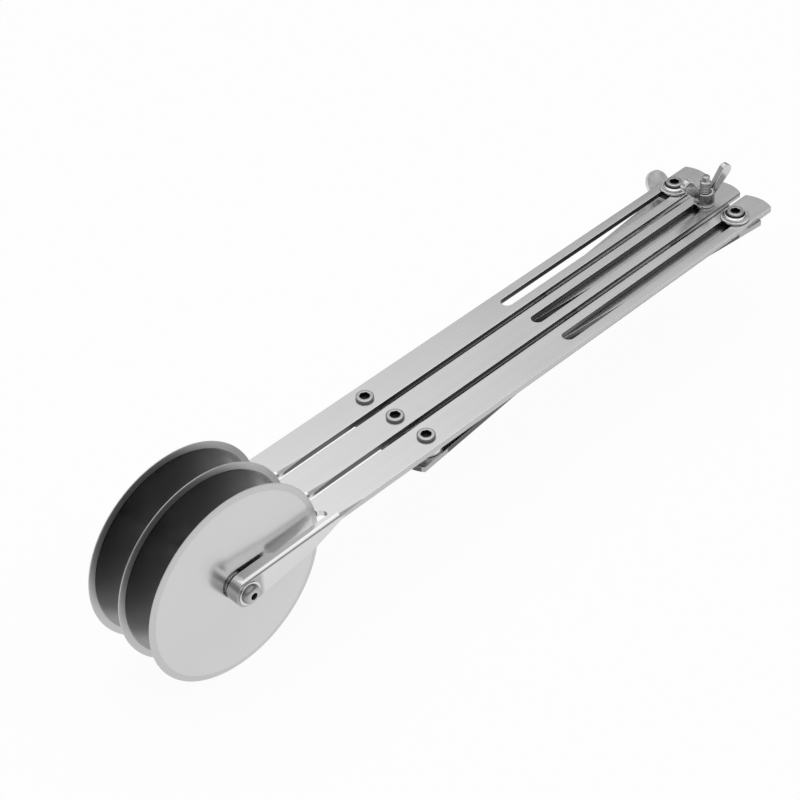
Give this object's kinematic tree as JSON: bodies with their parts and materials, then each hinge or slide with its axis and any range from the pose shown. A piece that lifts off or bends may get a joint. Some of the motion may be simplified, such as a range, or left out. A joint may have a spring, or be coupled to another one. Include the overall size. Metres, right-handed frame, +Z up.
{
  "type": "expandable dough cutter",
  "caption": "Dough cutter with cutting wheels on slotted parallel bars, joined by crossed links so that the strip width is set evenly and held by a wing nut.",
  "frame": {"origin": "the point on the table under the middle wheel's axle, where that wheel's rim touches it", "axes": "+X runs from the wheels along the bars to their rear end, +Y runs along the axles to the right wheel, and +Z points up from the table, with the bars level"},
  "size_m": [0.4189, 0.0683, 0.097],
  "materials": {
    "bar_sheet": "satin stainless steel with polished edges",
    "wheel_disc": "mirror-polished stainless steel",
    "link_sheet": "satin stainless steel",
    "thumb_tab": "satin stainless steel, slightly mottled",
    "wing_nut": "polished",
    "bolts": "bright machined steel, dark key sockets",
    "nuts": "bright machined steel",
    "washers": "bright pressed steel",
    "hub_bushes": "turned steel"
  },
  "bodies": {
    "middle_bar_set": {"middle_bar": "bar_sheet", "middle_axle_bolt": "bolts", "middle_head_washer": "washers", "middle_hub_washer": "washers", "middle_nut_washer": "washers", "middle_axle_nut": "nuts", "middle_pivot_bolt": "bolts", "middle_pivot_nut": "nuts"},
    "right_bar_set": {"right_bar": "bar_sheet", "right_axle_bolt": "bolts", "right_head_washer": "washers", "right_hub_washer": "washers", "right_nut_washer": "washers", "right_axle_nut": "nuts", "right_pivot_bolt": "bolts", "right_pivot_nut": "nuts"},
    "left_bar_set": {"left_bar": "bar_sheet", "left_axle_bolt": "bolts", "left_head_washer": "washers", "left_hub_washer": "washers", "left_nut_washer": "washers", "left_axle_nut": "nuts", "left_pivot_bolt": "bolts", "left_pivot_nut": "nuts", "left_pivot_spacer": "washers"},
    "middle_wheel_set": {"middle_wheel": "wheel_disc", "middle_hub_bush": "hub_bushes"},
    "right_wheel_set": {"right_wheel": "wheel_disc", "right_hub_bush": "hub_bushes"},
    "left_wheel_set": {"left_wheel": "wheel_disc", "left_hub_bush": "hub_bushes"},
    "right_rear_link_set": {"right_rear_link": "link_sheet", "right_cross_rivet": "bolts", "right_slide_bolt": "bolts", "right_slide_washer": "washers", "right_slide_cup": "washers", "right_slide_nut": "nuts"},
    "thumb_tab_set": {"thumb_tab": "thumb_tab"},
    "right_front_link_set": {"right_front_link": "link_sheet", "clamp_stud": "bolts", "clamp_washer": "washers"},
    "left_rear_link_set": {"left_rear_link": "link_sheet", "left_slide_bolt": "bolts", "left_slide_washer": "washers", "left_slide_cup": "washers", "left_slide_nut": "nuts"},
    "left_front_link_set": {"left_front_link": "link_sheet", "left_cross_rivet": "bolts"},
    "wing_nut_set": {"wing_nut": "wing_nut"}
  },
  "joints": [
    {"name": "spread", "type": "hinge", "parent": "middle_bar_set", "child": "right_rear_link_set", "pos_m": [0.118, 0, 0.0474], "axis": [0, 0, 1], "range_deg": [0, 59.4]},
    {"name": "right_cross", "type": "hinge", "parent": "right_rear_link_set", "child": "right_front_link_set", "pos_m": [0.233, 0.01, 0.049], "axis": [0, 0, 1], "range_deg": [-118.8, 0]},
    {"name": "right_pivot", "type": "hinge", "parent": "right_front_link_set", "child": "right_bar_set", "pos_m": [0.118, 0.02, 0.0507], "axis": [0, 0, 1], "range_deg": [0, 59.4]},
    {"name": "tab_swing", "type": "hinge", "parent": "right_rear_link_set", "child": "thumb_tab_set", "pos_m": [0.348, 0.02, 0.0507], "axis": [0, 0, 1], "range_deg": [-59.4, 0]},
    {"name": "left_spread", "type": "hinge", "parent": "middle_bar_set", "child": "left_rear_link_set", "pos_m": [0.118, 0, 0.0507], "axis": [0, 0, 1], "range_deg": [-59.4, 0]},
    {"name": "left_cross", "type": "hinge", "parent": "left_rear_link_set", "child": "left_front_link_set", "pos_m": [0.233, -0.01, 0.049], "axis": [0, 0, 1], "range_deg": [0, 118.8]},
    {"name": "left_pivot", "type": "hinge", "parent": "left_front_link_set", "child": "left_bar_set", "pos_m": [0.118, -0.02, 0.0474], "axis": [0, 0, 1], "range_deg": [-59.4, 0]},
    {"name": "middle_roll", "type": "hinge", "parent": "middle_bar_set", "child": "middle_wheel_set", "pos_m": [0, 0, 0.0485], "axis": [0, 1, 0], "continuous": true},
    {"name": "right_roll", "type": "hinge", "parent": "right_bar_set", "child": "right_wheel_set", "pos_m": [0, 0.02, 0.0485], "axis": [0, 1, 0], "continuous": true},
    {"name": "left_roll", "type": "hinge", "parent": "left_bar_set", "child": "left_wheel_set", "pos_m": [0, -0.02, 0.0485], "axis": [0, 1, 0], "continuous": true},
    {"name": "wing_turn", "type": "hinge", "parent": "right_front_link_set", "child": "wing_nut_set", "pos_m": [0.348, 0, 0.0568], "axis": [0, 0, 1], "continuous": true}
  ],
  "couplings": [
    {"joint": "right_cross", "follows": "spread", "ratio": -2},
    {"joint": "right_pivot", "follows": "spread", "ratio": 1},
    {"joint": "tab_swing", "follows": "spread", "ratio": -1},
    {"joint": "left_spread", "follows": "spread", "ratio": -1},
    {"joint": "left_cross", "follows": "spread", "ratio": 2},
    {"joint": "left_pivot", "follows": "spread", "ratio": -1}
  ]
}
